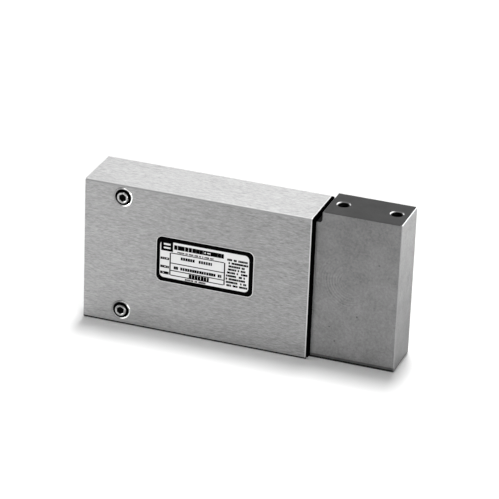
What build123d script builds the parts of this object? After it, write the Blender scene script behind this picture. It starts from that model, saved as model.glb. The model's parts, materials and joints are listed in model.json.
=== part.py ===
from build123d import *
import os

# Single point load cell: a machined spring element under a folded sheet cover.
# All sizes are in millimetres.
# X runs along the cell, from the fixed end to the live end. Y runs across it. Z is up.
# The origin is the middle of the footprint, on the mounting plane.

# Spring element, the block that bends under load
overall_length = 152.4
beam_width = 23.0
beam_height = 68.8
pad_rise = 5.4
fixed_length = 38.1
ledge_length = 2.8
ledge_fillet = 1.4
edge_break = 0.3
foot_break = 0.6
side_step_fillet = 1.5

# Relief above and below the bending section, where the strain gauges sit
relief_top = 1.5
relief_bottom = 2.0
relief_setback = 3.0
relief_fillet = 1.0

# Flexure window
window_wall = 3.0
flexure_thickness = 2.6
flexure_slot_width = 14.0
middle_beam_thickness = 12.6

# Mounting threads, 1/4-20 UNC on a one inch pitch
mount_pitch = 25.4
mount_bore = 5.1
mount_depth = 19.0
mount_mouth = 6.6

# Cover, one sheet folded over the front, top and rear
cover_length = 111.0
cover_sheet = 1.0
cover_bend = 0.4
cover_foot_gap = 0.2
cover_fit = 0.1

# Rubber seal in the open end of the cover
seal_gap_side = 2.2
seal_gap_top = 1.3
seal_flange = 0.9
seal_collar = 5.0
seal_inset = 0.15
seal_foot = 1.0
seal_fit = 0.05

# Cover screws, each with a cup washer and a sealing ring
screw_above_base = 7.3
screw_below_top = 6.0
screw_head_diameter = 5.4
screw_head_height = 1.25
screw_shank_diameter = 3.4
screw_shank_length = 8.0
screw_hole_extra = 1.0
socket_width = 2.8
socket_depth = 0.85
thread_fit = 0.05
cup_diameter = 9.4
cup_floor = 0.2
cup_height = 0.5
cup_slope = 0.44
ring_diameter = 7.9
ring_height = 0.25
ring_fit = 0.03

# Nameplate on the front of the cover
plate_length = 48.0
plate_height = 23.1
plate_thickness = 0.3
plate_corner = 3.0
plate_from_end = 36.0
plate_below_top = 21.9

# Strain gauges and the soft coating over each
gauge_length = 10.0
gauge_width = 7.0
gauge_thickness = 0.12
coat_margin = 2.4
coat_corner = 2.5
coat_slope = 18.0
coat_clearance = 0.4

# Flat lead from each gauge to the terminal board
lead_width = 2.4
lead_thickness = 0.5
lead_lift = 0.1
lead_gauge_gap = 0.2
lead_hang = 0.7
lead_hole_clearance = 1.0
lead_hole_setback = 5.0
lead_row_pitch = 6.0

# Terminal board, screwed to the end wall of the window
board_width = 17.0
board_height = 40.0
board_thickness = 1.6
board_wire_hole = 6.0
board_screw_pitch = 26.0
board_screw_diameter = 2.5
board_screw_head_diameter = 4.6
board_screw_head_height = 1.7
board_screw_bite = 5.0
board_screw_slot = 0.6
board_hole_clearance = 0.15
spacer_length = 2.0
spacer_hex = 5.0

# Trimming resistors on the board
resistor_length = 6.4
resistor_width = 3.2
resistor_height = 1.6
resistor_edge = 0.3
resistor_row_height = 7.0

# Cable inlet, sunk in the end face of the fixed end
inlet_recess_diameter = 18.0
inlet_recess_depth = 10.0
inlet_barrel_diameter = 12.0
inlet_barrel_length = 9.0
inlet_hex = 14.0
inlet_hex_height = 3.4
inlet_spigot_diameter = 10.4
inlet_spigot_length = 4.6
inlet_bore = 6.0
inlet_grommet_diameter = 8.2
inlet_grommet_length = 6.0
inlet_cable_bore = 5.2
inlet_nut_hex = 13.0
inlet_nut_wall = 1.2
inlet_fit = 0.05
wire_bore = 6.0

# Stations along X
x_left = -overall_length / 2
x_right = overall_length / 2
x_fixed = x_left + fixed_length
x_cover = x_left + cover_length
x_ledge = x_cover + seal_flange
x_pad = x_ledge + ledge_length
x_relief_start = x_fixed + relief_setback
x_relief_end = x_cover - seal_collar - relief_setback
x_window_start = x_relief_start + window_wall
x_window_end = x_relief_end - window_wall
x_flexure_fixed = x_window_start + flexure_slot_width / 2
x_flexure_live = x_window_end - flexure_slot_width / 2
x_fixed_holes = x_left + fixed_length / 2
x_pad_holes = (x_pad + x_right) / 2
x_plate = x_left + plate_from_end + plate_length / 2

# Widths across Y
cover_inner_width = beam_width + 2 * seal_gap_side
cover_width = cover_inner_width + 2 * cover_sheet
fixed_width = cover_inner_width - 2 * cover_fit
cover_face = cover_width / 2

# Heights along Z
pad_top = beam_height + pad_rise
cover_inner_top = beam_height + seal_gap_top
cover_top = cover_inner_top + cover_sheet
fixed_top = cover_inner_top - cover_fit
gauge_top = beam_height - relief_top
gauge_bottom = relief_bottom
z_centre = (gauge_top + gauge_bottom) / 2
flexure_slot_height = gauge_top - gauge_bottom - 2 * flexure_thickness
window_middle_height = gauge_top - gauge_bottom - 2 * middle_beam_thickness
window_ceiling = gauge_top - middle_beam_thickness
coat_height = relief_bottom - coat_clearance
screw_heights = (cover_top - screw_below_top, screw_above_base)
z_plate = cover_top - plate_below_top - plate_height / 2

# Places of the leads, their slot and the board
x_lead_slot = x_window_start + flexure_slot_width + lead_hole_setback
x_board = x_window_start + spacer_length
x_board_face = x_board + board_thickness
lead_top_z = gauge_top + lead_lift + lead_thickness / 2
lead_window_z = window_ceiling - lead_hang - lead_thickness / 2


def block_x(x_from, x_to, width, z_from, z_to):
    """A plain block between two stations, centred across Y."""
    middle = ((x_from + x_to) / 2, 0, (z_from + z_to) / 2)
    return Pos(*middle) * Box(x_to - x_from, width, z_to - z_from)


def rod(x, y, z, direction, radius, length):
    """A round bar that starts at a point and runs along a direction."""
    start = Plane(origin=(x, y, z), z_dir=direction)
    return extrude(start * Circle(radius), length)


def to_underside(piece):
    """The same piece on the lower side of the bending section."""
    return mirror(piece, Plane(origin=(0, 0, z_centre), z_dir=(0, 0, 1)))


def tapped_hole(x, z, direction):
    """A blind mounting hole on the centre line, at its tapping size, with a chamfered mouth."""
    sink = (mount_mouth - mount_bore) / 2
    bore = rod(x, 0, z, direction, mount_bore / 2, mount_depth)
    mouth = Pos(0, 0, sink / 2) * Cone(mount_mouth / 2, mount_bore / 2, sink)
    return bore + Plane(origin=(x, 0, z), z_dir=direction) * mouth


def arch(width, top, foot, corner):
    """A section across the cell: straight foot, two rounded corners at the top."""
    height = top - foot
    outline = Pos(0, foot + height / 2) * Rectangle(width, height)
    upper = outline.vertices().group_by(Axis.Y)[-1]
    return fillet(upper, corner)


def arch_bar(x_from, x_to, width, top, foot, corner):
    """The arch section drawn out along X."""
    section_plane = Plane(origin=(x_from, 0, 0), x_dir=(0, 1, 0), z_dir=(1, 0, 0))
    return extrude(section_plane * arch(width, top, foot, corner), x_to - x_from)


def side_profile():
    """Outline of the block seen from the front, with both reliefs and the ledge."""
    outline = Polyline(
        (x_left, 0),
        (x_relief_start, 0),
        (x_relief_start, gauge_bottom),
        (x_relief_end, gauge_bottom),
        (x_relief_end, 0),
        (x_right, 0),
        (x_right, pad_top),
        (x_pad, pad_top),
        (x_pad, beam_height),
        (x_relief_end, beam_height),
        (x_relief_end, gauge_top),
        (x_relief_start, gauge_top),
        (x_relief_start, fixed_top),
        (x_left, fixed_top),
        (x_left, 0),
    )
    face = make_face(outline)
    shallow = min(relief_top, relief_bottom)
    roots = [
        point
        for point in face.vertices()
        if x_relief_start - 0.01 < point.X < x_relief_end + 0.01
        and (abs(point.Y - gauge_top) < 0.01 or abs(point.Y - gauge_bottom) < 0.01)
    ]
    face = fillet(roots, min(relief_fillet, 0.6 * shallow))
    ledge_root = face.vertices().sort_by_distance((x_pad, beam_height, 0))[0]
    return fillet(ledge_root, min(ledge_fillet, 0.6 * ledge_length))


def window_profile():
    """The flexure window: a tall round-ended slot at each end, joined by a lower room.

    The round ends of the slots leave the four thin flexures.
    """
    slot = Rot(0, 0, 90) * SlotOverall(flexure_slot_height, flexure_slot_width)
    room_length = x_flexure_live - x_flexure_fixed
    room = Rectangle(room_length, window_middle_height)
    middle = (x_flexure_fixed + x_flexure_live) / 2
    return (
        Pos(x_flexure_fixed, z_centre) * slot
        + Pos(x_flexure_live, z_centre) * slot
        + Pos(middle, z_centre) * room
    )


def beam_blank():
    """The block before drilling: full width at the fixed end, narrower beyond it.

    The long top edges of the fixed end are chamfered to clear the cover's bends.
    """
    front = Plane(origin=(0, fixed_width / 2, 0), x_dir=(1, 0, 0), z_dir=(0, -1, 0))
    blank = extrude(front * side_profile(), fixed_width)
    along = blank.edges().filter_by(Axis.X)
    under_bends = along.filter_by_position(Axis.Z, fixed_top - 0.01, fixed_top + 0.01)
    blank = chamfer(under_bends, cover_bend)
    step = (fixed_width - beam_width) / 2
    corner = min(side_step_fillet, 0.9 * step)
    reach = pad_top + 1
    plan = Pos((x_fixed + x_right) / 2 + 1, 0) * Rectangle(x_right - x_fixed + 2, 2 * step)
    inner = plan.vertices().group_by(Axis.X)[0]
    for side in (1, -1):
        facing = inner.sort_by(Axis.Y)[0 if side > 0 else -1]
        cutter = extrude(fillet(facing, corner), reach)
        blank -= Pos(0, side * (beam_width / 2 + step), 0) * cutter
    return blank


def break_edges(solid):
    """Chamfer the outer edges of the live end."""
    live_foot = solid.faces().group_by(Axis.Z)[0].sort_by(Axis.X)[-1]
    all_but_inner = live_foot.outer_wire().edges().sort_by(Axis.X)[1:]
    solid = chamfer(all_but_inner, foot_break)
    corners = solid.edges().filter_by(Axis.Z).filter_by_position(Axis.X, x_right - 0.01, x_right + 0.01)
    rim = solid.faces().sort_by(Axis.Z)[-1].outer_wire().edges()
    return chamfer(corners + rim, edge_break)


def inlet_cavity():
    """The stepped hole from the end face of the fixed end into the window."""
    recess = rod(x_left, 0, z_centre, (1, 0, 0), inlet_recess_diameter / 2, inlet_recess_depth)
    barrel_depth = inlet_recess_depth + inlet_barrel_length + inlet_fit
    barrel = rod(x_left, 0, z_centre, (1, 0, 0), inlet_barrel_diameter / 2, barrel_depth)
    wires = rod(x_left, 0, z_centre, (1, 0, 0), wire_bore / 2, x_window_start - x_left + 1)
    return recess + barrel + wires


def lead_passages():
    """A milled slot through each middle beam, wide enough for two flat leads side by side."""
    across = lead_row_pitch + lead_width + 2 * lead_hole_clearance
    along = lead_thickness + 2 * lead_hole_clearance
    mouth = Rot(0, 0, 90) * SlotOverall(across, along)
    upper = Pos(x_lead_slot, 0, window_ceiling - 1) * extrude(mouth, middle_beam_thickness + 2)
    return upper + to_underside(upper)


def make_spring_element():
    """The spring element, machined from one block."""
    solid = break_edges(beam_blank())
    front = Plane(origin=(0, beam_width, 0), x_dir=(1, 0, 0), z_dir=(0, -1, 0))
    solid -= extrude(front * window_profile(), 2 * beam_width)
    for side in (-0.5, 0.5):
        offset = side * mount_pitch
        solid -= tapped_hole(x_pad_holes + offset, pad_top, (0, 0, -1))
        solid -= tapped_hole(x_fixed_holes + offset, 0, (0, 0, 1))
    solid -= inlet_cavity()
    solid -= lead_passages()
    for z in screw_heights:
        for side in (-1, 1):
            depth = screw_shank_length + 1
            radius = screw_shank_diameter / 2 + thread_fit
            solid -= rod(x_fixed_holes, side * cover_face, z, (0, -side, 0), radius, depth)
    for side in (-0.5, 0.5):
        z = z_centre + side * board_screw_pitch
        radius = board_screw_diameter / 2 + thread_fit
        solid -= rod(x_window_start + 1, 0, z, (-1, 0, 0), radius, board_screw_bite + 1.5)
    return solid


def make_cover():
    """The cover, one sheet folded along its two top edges, open below and at both ends."""
    outer = arch_bar(
        x_left, x_cover, cover_width, cover_top, cover_foot_gap, cover_bend + cover_sheet
    )
    inner = arch_bar(
        x_left - 1, x_cover + 1, cover_inner_width, cover_inner_top, cover_foot_gap - 1, cover_bend
    )
    shell = outer - inner
    radius = (screw_shank_diameter + screw_hole_extra) / 2
    for z in screw_heights:
        shell -= rod(x_fixed_holes, -cover_width, z, (0, 1, 0), radius, 2 * cover_width)
    return shell


def make_end_seal():
    """The rubber seal: a flange over the sheet edge and a collar inside the cover."""
    foot = cover_foot_gap + seal_foot
    flange = arch_bar(
        x_cover,
        x_cover + seal_flange,
        cover_width - 2 * seal_inset,
        cover_top - seal_inset,
        foot,
        cover_bend + cover_sheet - seal_inset,
    )
    collar = arch_bar(
        x_cover - seal_collar,
        x_cover,
        cover_inner_width - 2 * seal_fit,
        cover_inner_top - seal_fit,
        foot,
        cover_bend,
    )
    passage = block_x(
        x_cover - seal_collar - 1,
        x_cover + seal_flange + 1,
        beam_width + 2 * seal_fit,
        foot - 1,
        beam_height + seal_fit,
    )
    return flange + collar - passage


def on_cover(piece, side, z):
    """Set a turned piece, drawn with its axis along Z, on a side of the cover."""
    seat = Plane(origin=(x_fixed_holes, side * cover_face, z), x_dir=(1, 0, 0), z_dir=(0, side, 0))
    return seat * piece


def make_cup_washer():
    """A pressed cup washer with a sloping side."""
    outer = cup_diameter / 2
    inner = ring_diameter / 2 + ring_fit
    hole = (screw_shank_diameter + screw_hole_extra) / 2
    section = make_face(
        Polyline(
            (hole, 0),
            (outer, 0),
            (outer - cup_slope, cup_height),
            (inner, cup_height),
            (inner, cup_floor),
            (hole, cup_floor),
            (hole, 0),
        )
    )
    return revolve(Plane.XZ * section, Axis.Z)


def make_sealing_ring():
    """The rubber ring between the cup's rim and the screw head."""
    outer = Cylinder(ring_diameter / 2, ring_height)
    inner = Cylinder(screw_head_diameter / 2 + ring_fit, ring_height + 1)
    return Pos(0, 0, cup_floor + ring_height / 2) * (outer - inner)


def make_cover_screw():
    """A low-head socket screw, whose head sits on the cup's floor."""
    crown = cup_floor + screw_head_height
    head = rod(0, 0, cup_floor, (0, 0, 1), screw_head_diameter / 2, screw_head_height)
    shank = rod(0, 0, cup_floor, (0, 0, -1), screw_shank_diameter / 2, screw_shank_length)
    socket = RegularPolygon(socket_width / 2, 6, major_radius=False)
    return head + shank - Pos(0, 0, crown - socket_depth) * extrude(socket, socket_depth + 1)


def make_nameplate():
    """The nameplate, a thin plate with round corners on the front of the cover."""
    front = Plane(origin=(x_plate, -cover_face, z_plate), x_dir=(1, 0, 0), z_dir=(0, -1, 0))
    return extrude(front * RectangleRounded(plate_length, plate_height, plate_corner), plate_thickness)


def make_gauge(x):
    """One foil strain gauge, bonded on top of a flexure."""
    return Pos(x, 0, gauge_top) * extrude(Rectangle(gauge_length, gauge_width), gauge_thickness)


def make_lead(x_gauge, row):
    """One flat gauge lead, folded down the slot and along the window to the board."""
    inward = 1 if x_lead_slot > x_gauge else -1
    x_start = x_gauge + inward * (gauge_length / 2 + lead_gauge_gap)
    route = Polyline(
        (x_start, row, lead_top_z),
        (x_lead_slot, row, lead_top_z),
        (x_lead_slot, row, lead_window_z),
        (x_board_face, row, lead_window_z),
    )
    start = Plane(origin=route @ 0, x_dir=(0, 1, 0), z_dir=route % 0)
    section = start * Rectangle(lead_width, lead_thickness)
    return sweep(section, path=route, transition=Transition.RIGHT)


def make_coat(x, lead):
    """The soft coating over one gauge and the end of its lead, with sloping sides."""
    outline = Rectangle(gauge_length + 2 * coat_margin, gauge_width + 2 * coat_margin)
    outline = chamfer(outline.vertices(), coat_corner)
    coat = extrude(outline, coat_height, taper=coat_slope)
    return Pos(x, 0, gauge_top) * coat - make_gauge(x) - lead


def make_board():
    """The terminal board, with a hole for the wires and two screw holes."""
    board = block_x(
        x_board, x_board_face, board_width, z_centre - board_height / 2, z_centre + board_height / 2
    )
    board -= rod(x_board - 1, 0, z_centre, (1, 0, 0), board_wire_hole / 2, board_thickness + 2)
    for side in (-0.5, 0.5):
        z = z_centre + side * board_screw_pitch
        radius = board_screw_diameter / 2 + board_hole_clearance
        board -= rod(x_board - 1, 0, z, (1, 0, 0), radius, board_thickness + 2)
    return board


def make_board_spacer(side):
    """A hexagonal spacer between the window's end wall and the board."""
    z = z_centre + side * board_screw_pitch
    start = Plane(origin=(x_window_start, 0, z), z_dir=(1, 0, 0))
    outer = extrude(start * RegularPolygon(spacer_hex / 2, 6, major_radius=False), spacer_length)
    radius = board_screw_diameter / 2 + board_hole_clearance
    return outer - rod(x_window_start - 1, 0, z, (1, 0, 0), radius, spacer_length + 2)


def make_board_screw(side):
    """A slotted cheese-head screw that holds the board."""
    z = z_centre + side * board_screw_pitch
    length = board_screw_bite + spacer_length + board_thickness
    shank = rod(x_board_face, 0, z, (-1, 0, 0), board_screw_diameter / 2, length)
    head = rod(x_board_face, 0, z, (1, 0, 0), board_screw_head_diameter / 2, board_screw_head_height)
    slot = Pos(x_board_face + board_screw_head_height, 0, z) * Box(
        board_screw_head_height, 2 * board_screw_head_diameter, board_screw_slot
    )
    return shank + head - slot


def make_resistor(row):
    """A trimming resistor, flat on the board beside the wire hole."""
    body = Box(resistor_height, resistor_length, resistor_width)
    body = chamfer(body.edges().filter_by(Axis.Y), resistor_edge)
    z = z_centre + row
    return Pos(x_board_face + resistor_height / 2, 0, z) * body


def turned_inlet(section):
    """Turn a section about the inlet's axis; its second number is the depth from the face."""
    turned = revolve(Plane.XZ * make_face(section), Axis.Z)
    return Plane(origin=(x_left, 0, z_centre), z_dir=(1, 0, 0)) * turned


def inlet_hex_limit(width, depth_from, depth_to):
    """A hexagonal bar about the inlet's axis."""
    start = Plane(origin=(x_left + depth_from, 0, z_centre), z_dir=(1, 0, 0))
    return extrude(start * RegularPolygon(width / 2, 6, major_radius=False), depth_to - depth_from)


def make_inlet_body():
    """The inlet's body: a barrel in the block, a hexagon and a threaded spigot."""
    hex_depth = inlet_recess_depth - inlet_hex_height
    spigot_face = hex_depth - inlet_spigot_length
    end = inlet_recess_depth + inlet_barrel_length
    barrel = inlet_barrel_diameter / 2 - inlet_fit
    seat = inlet_grommet_diameter / 2 + inlet_fit
    stop = spigot_face + inlet_grommet_length
    section = Polyline(
        (seat, spigot_face),
        (inlet_spigot_diameter / 2, spigot_face),
        (inlet_spigot_diameter / 2, hex_depth),
        (barrel, hex_depth),
        (barrel, end),
        (inlet_bore / 2, end),
        (inlet_bore / 2, stop),
        (seat, stop),
        (seat, spigot_face),
    )
    hexagon = inlet_hex_limit(inlet_hex, hex_depth, inlet_recess_depth)
    hexagon -= rod(x_left, 0, z_centre, (1, 0, 0), barrel - 0.2, inlet_recess_depth + 1)
    return turned_inlet(section) + hexagon


def make_inlet_grommet():
    """The rubber grommet that grips the cable."""
    front = inlet_recess_depth - inlet_hex_height - inlet_spigot_length
    back = front + inlet_grommet_length
    section = Polyline(
        (inlet_cable_bore / 2, front),
        (inlet_grommet_diameter / 2, front),
        (inlet_grommet_diameter / 2, back),
        (inlet_cable_bore / 2, back),
        (inlet_cable_bore / 2, front),
    )
    return turned_inlet(section)


def make_inlet_nut():
    """The compression nut over the spigot, just below the end face."""
    hex_depth = inlet_recess_depth - inlet_hex_height
    spigot_face = hex_depth - inlet_spigot_length
    front = spigot_face - inlet_nut_wall
    nut = inlet_hex_limit(inlet_nut_hex, front, hex_depth)
    clear = inlet_spigot_diameter / 2 + inlet_fit
    nut -= rod(x_left + spigot_face, 0, z_centre, (1, 0, 0), clear, inlet_spigot_length + 1)
    return nut - rod(x_left, 0, z_centre, (1, 0, 0), inlet_bore / 2, hex_depth)


def save(piece, name):
    """Write one named piece."""
    export_step(piece, f"parts/{name}.step")


def main():
    """Build every piece and write it to its own file."""
    os.makedirs("parts", exist_ok=True)
    save(make_spring_element(), "spring_element")
    save(make_cover(), "cover")
    save(make_end_seal(), "end_seal")
    save(make_nameplate(), "nameplate")

    for side, side_name in ((-1, "front"), (1, "rear")):
        for z, level in zip(screw_heights, ("upper", "lower")):
            place = f"{side_name}_{level}"
            save(on_cover(make_cup_washer(), side, z), f"cup_washer_{place}")
            save(on_cover(make_sealing_ring(), side, z), f"sealing_ring_{place}")
            save(on_cover(make_cover_screw(), side, z), f"cover_screw_{place}")

    stations = (
        ("fixed", x_flexure_fixed, -lead_row_pitch / 2),
        ("live", x_flexure_live, lead_row_pitch / 2),
    )
    for end, x_gauge, row in stations:
        lead = make_lead(x_gauge, row)
        pieces = (
            ("strain_gauge", make_gauge(x_gauge)),
            ("gauge_coating", make_coat(x_gauge, lead)),
            ("gauge_lead", lead),
        )
        for kind, piece in pieces:
            save(piece, f"{kind}_top_{end}")
            save(to_underside(piece), f"{kind}_bottom_{end}")

    save(make_board(), "terminal_board")
    for side, level in ((0.5, "upper"), (-0.5, "lower")):
        save(make_board_spacer(side), f"board_spacer_{level}")
        save(make_board_screw(side), f"board_screw_{level}")
    rows = (
        ("span_resistor", resistor_row_height),
        ("zero_resistor", -resistor_row_height),
    )
    for name, row in rows:
        save(make_resistor(row), name)

    save(make_inlet_body(), "inlet_body")
    save(make_inlet_grommet(), "inlet_grommet")
    save(make_inlet_nut(), "inlet_nut")


main()
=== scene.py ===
"""The looks of the single point load cell: finishes, screws, print, threads, floor, light and camera.

Blender works in metres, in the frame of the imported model. Sizes below are in millimetres where they say so,
and MM turns them into metres.
"""
import json
import math
import random

import bmesh
import bpy
from mathutils import Matrix, Vector


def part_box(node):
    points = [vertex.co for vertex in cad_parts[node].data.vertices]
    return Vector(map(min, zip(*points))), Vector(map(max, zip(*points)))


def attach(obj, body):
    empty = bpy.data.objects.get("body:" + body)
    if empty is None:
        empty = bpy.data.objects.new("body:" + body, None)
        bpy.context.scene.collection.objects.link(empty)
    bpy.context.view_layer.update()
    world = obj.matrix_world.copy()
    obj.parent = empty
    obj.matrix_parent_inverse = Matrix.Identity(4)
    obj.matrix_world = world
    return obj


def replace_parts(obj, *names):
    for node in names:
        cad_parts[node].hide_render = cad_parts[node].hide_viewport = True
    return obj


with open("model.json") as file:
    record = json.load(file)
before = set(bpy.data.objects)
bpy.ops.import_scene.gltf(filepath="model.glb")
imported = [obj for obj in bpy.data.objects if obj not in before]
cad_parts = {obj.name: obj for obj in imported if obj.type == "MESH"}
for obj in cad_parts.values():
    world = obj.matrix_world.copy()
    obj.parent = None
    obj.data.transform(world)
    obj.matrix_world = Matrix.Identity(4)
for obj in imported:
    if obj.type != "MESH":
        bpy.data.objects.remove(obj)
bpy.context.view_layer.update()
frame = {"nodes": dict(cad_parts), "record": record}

MM = 0.001
NODES = frame["nodes"]
RECORD = frame["record"]
BOLT_PATTERNS = {mount["name"]: mount for mount in RECORD["mounts"] if mount["kind"] == "bolt_pattern"}

# Camera, solved from the straight edges of the cell in the photograph. Its lens and sensor are in millimetres,
# the nearest and the farthest that it sees in metres
EYE = Vector((412.98, -1208.34, 638.41)) * MM
RIGHT = Vector((0.94018, 0.33879, 0.03584))
DOWN = Vector((0.17390, -0.38678, -0.90563))
LENS = 219.45
SENSOR = 36.0
CLIP_START = 0.05
CLIP_END = 50.0

# Floor, in metres: its colour for the light that it throws back, and as it is seen and mirrored. It turns to
# plain white between two distances from the cell
FLOOR_HALF = 6.0
FLOOR_GAP = 0.02 * MM
FLOOR_COLOUR = 0.72
FLOOR_SEEN = 1.0
FLOOR_NEAR = 0.35
FLOOR_FAR = 1.20

# World: light on dull surfaces, and what metal mirrors, a dim room that is light low down, on the right and
# behind. Each light side has an axis, the part of a direction along it where the side starts and where it is
# full, and its brightness
WORLD_LIGHT = 0.27
MIRROR_REST = 0.25
MIRROR_SIDES = (
    ("Z", 0.60, 0.20, 0.90),
    ("X", 0.35, 0.65, 1.30),
    ("Y", 0.05, 0.55, 1.60),
)

# Lamps: place from the cell's middle in metres, width and height, and watts
LAMPS = {
    "overhead": ((-0.05, 0.43, 2.2), (0.30, 0.56), 38.2),
    "key": ((1.30, -0.95, 0.10), (0.60, 0.60), 22.8),
    "fill_left": ((-0.35, -0.35, 0.03), (0.08, 0.08), 0.24),
    "fill_right": ((0.28, -0.40, 0.16), (0.15, 0.15), 0.26),
}

# Directions: a face turned along an axis has nearly 1 there, and a bend or chamfer lies in a band between
FULL_START = 0.90
FULL_END = 0.98
BAND_SLOPE = 0.06
BEND_BAND = (0.30, 0.90)
CHAMFER_BAND = (0.60, 0.80)

# Widths over which one shade turns into the next, in millimetres
SOFT = 0.10
SHARP = 0.03
FOOT_SOFT = 0.15

# Cover: greys, matched to the photograph. The top's lighter grey, the bends' own grey and the drift from the
# start to the end and up its height are painted light and shade. The start is on the left in the photograph
SHEET_GREY = 0.335
SHEET_TOP_GREY = 0.405
SHEET_DRIFT = 0.10
SHEET_FADE = 0.065
SHEET_TOP_DRIFT = 0.035
BEND_GREY = 0.36
# Painted highlight beside the cut, painted shade on the cut and a painted shadow line along the foot
SHEET_END_GREY = 0.62
SHEET_CUT_GREY = 0.006
SHEET_FOOT_GREY = 0.02

# Cover: its extent, the painted shade on the cut at its end, the painted highlight strip beside the cut and the
# painted shadow line along the foot, in millimetres
SHEET_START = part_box("cover")[0].x / MM
SHEET_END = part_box("cover")[1].x / MM
SHEET_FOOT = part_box("cover")[0].z / MM
SHEET_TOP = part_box("cover")[1].z / MM
CUT_WIDTH = 0.20
END_HIGHLIGHT_WIDTH = 0.38
FOOT_SHADOW_WIDTH = 0.60

# Cover: brush marks per millimetre along X, Y and Z, how far each sways the grey, and the roughness
BRUSH_FINE = (0.45, 2.6, 2.6)
BRUSH_STREAKS = (0.22, 1.2, 1.2)
BRUSH_CLOUDS = (0.03, 0.06, 0.06)
FINE_SWAY = 0.24
STREAK_SWAY = 0.14
STREAK_LIMITS = (0.32, 0.68)
CLOUD_SWAY = 0.02
SHEET_ROUGH = (0.52, 0.62)
SHEET_TOP_ROUGH = 0.10

# Block: greys, matched to the photograph. The sides fade darker up their height and are lighter beside the
# cover, as painted shade and light. The end is a lighter copy of the grey, as painted light, and the pad's top a
# darker one, a painted dark reflection, darker still at its far rim
BLOCK_GREY = 0.206
BLOCK_FADE = 0.15
BLOCK_START_LIFT = 0.55
PAD_GREY = 0.045
PAD_RIM_SHARE = 0.55
# Painted shade on the ledge, the top edge's chamfers, the bores and the foot, painted light on the end and its
# corners, and painted highlights on the outer chamfers and the hole mouths
LEDGE_GREY = 0.005
END_TOP_GREY = 0.395
END_FOOT_GREY = 0.18
CORNER_GREY = 0.25
EDGE_GREY = 0.09
CHAMFER_GREY = 0.90
MOUTH_GREY = 0.50
MOUTH_LIT_GREY = 0.80
BORE_GREY = 0.008
FOOT_GREY = 0.008
FOOT_SHADE = 0.45

# Block: its extent, and how far each painted light or shade reaches from its edge, in millimetres
PAD_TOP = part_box("spring_element")[1].z / MM
BLOCK_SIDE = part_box("spring_element")[1].y / MM
BLOCK_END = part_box("spring_element")[1].x / MM
LIFT_REACH = 4.2
CUT_REACH = 0.90
RIM_REACH = 1.30
RIM_SOFT = 0.20
FOOT_REACH = 1.10
END_FOOT_REACH = 0.70
FOOT_SHADE_REACH = 1.0
FOOT_SHADE_SOFT = 0.40

# Block: how far up a face points before it counts as the ledge, and up or down before it isn't upright
LEDGE_TURN = (0.10, 0.20)
UPRIGHT_TURN = (0.82, 0.90)

# Bores: radii of the bore in painted shade, of its lip and of the whole mouth, and the shade's depth, in
# millimetres.
# The mouth is a painted highlight, brightest where it is turned to the right and a little to the front, from one
# value of that to another
BORE_REACH = 2.75
LIP_REACH = 2.92
MOUTH_REACH = 3.5
BORE_DEPTH = 20.0
BORE_SOFT = 0.50
MOUTH_LEAN = 0.27
MOUTH_TURN = (0.58, 0.69)

# Milling arcs on the block's sides: middle, step and fading radii in millimetres, how they waver and how far
# they sway the grey. They are broken by soft gaps, and show most to the left of their middle and below it
SWIRL_X = BLOCK_END - 22.5
SWIRL_Z = 41.6
SWIRL_STEP = 1.30
SWIRL_CORE = (3.0, 6.0)
SWIRL_RIM = (12.0, 17.0)
SWIRL_WAVER = 9.0
SWIRL_SWAY = 0.15
SWIRL_FAINT = 0.15
SWIRL_LEAN = (-0.1, -1.1)
SWIRL_TILT = 0.45
GAP_SCALE = 0.50
GAP_EDGE = (0.35, 0.55)
GAP_SHARE = 0.30

# Block: how far its mottle and patches sway the grey, and the roughness of its sides, pad and bright cuts
MOTTLE_SWAY = 0.22
PATCH_SWAY = 0.09
BLOCK_ROUGH = (0.44, 0.58)
PAD_ROUGH = 0.18
CUT_ROUGH = 0.22

# Specks on the block: cells per millimetre, how ragged they are, where their edge starts and ends, and their
# share of the grey
SPECK_SCALE = 0.045
SPECK_RAG = 0.012
SPECK_EDGE = (0.004, 0.024)
SPECK_SHADE = 0.45

# Cover screws: their axis, and half the width over which a left grey turns into a right one, in millimetres. On
# the washers these are painted shade on the left and a painted highlight on the right
SCREW_X = (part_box("cup_washer_front_upper")[0].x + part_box("cup_washer_front_upper")[1].x) / 2 / MM
SCREW_SOFT = 0.80

# Cover screw fittings in millimetres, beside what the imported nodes' own boxes give. A cup's rim is rounded
# from one angle to another, in degrees
CUP_HOLE = 2.20
CUP_LEAN = 0.04
CUP_LIP = 0.13
CUP_ROUND = 0.10
CUP_ROUND_ARC = (20, 105)
CUP_FOOT_BREAK = (0.03, 0.02)
CUP_FLOOR_ROOT = 0.06
WALL_FIT = 0.03
RING_CROWN = 0.10
HEAD_ROUND = 0.28
SHANK_RADIUS = 1.70
SHANK_POINT = 0.35
SHANK_TIP = 0.02
SOCKET_WIDTH = 3.35
SOCKET_DEPTH = 1.05
DISH_RADIUS = 2.30
DISH_DEPTH = 0.24

# Sides of a turned face, and steps of a round edge, a sealing ring's crown, a corner of the plate's border
# and one turn of a thread
SIDES = 96
ARC_STEPS = 6
RING_STEPS = 8
CORNER_STEPS = 8
THREAD_STEPS = 36

# Mounting threads in millimetres, 1/4 inch with 20 turns to the inch. The ridge has half widths at its root
# and its crest, and runs out over a part of a turn
THREAD_PITCH = 1.27
THREAD_RADIUS = 2.56
THREAD_RISE = 0.32
THREAD_ROOT = 0.42
THREAD_CREST = 0.08
THREAD_START = 1.3
THREAD_DEPTH = 17.5
RUN_OUT_TURNS = 0.5

# Print on the nameplate, in millimetres from the plate's lower left corner
INK_RISE = 0.02
INK_BEVEL = 0.01
BORDER_EDGE = 0.22
BORDER_WIDTH = 2.30
BORDER_LEFT = 1.90
PLATE_CORNER = 3.0
INNER_CORNER = 2.1
TABLE_LEFT = 6.7
TABLE_RIGHT = 33.5
TABLE_LINES = (15.3, 10.2, 6.4, 4.0)
TABLE_STROKE = 0.46
TABLE_POST = 0.62

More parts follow.
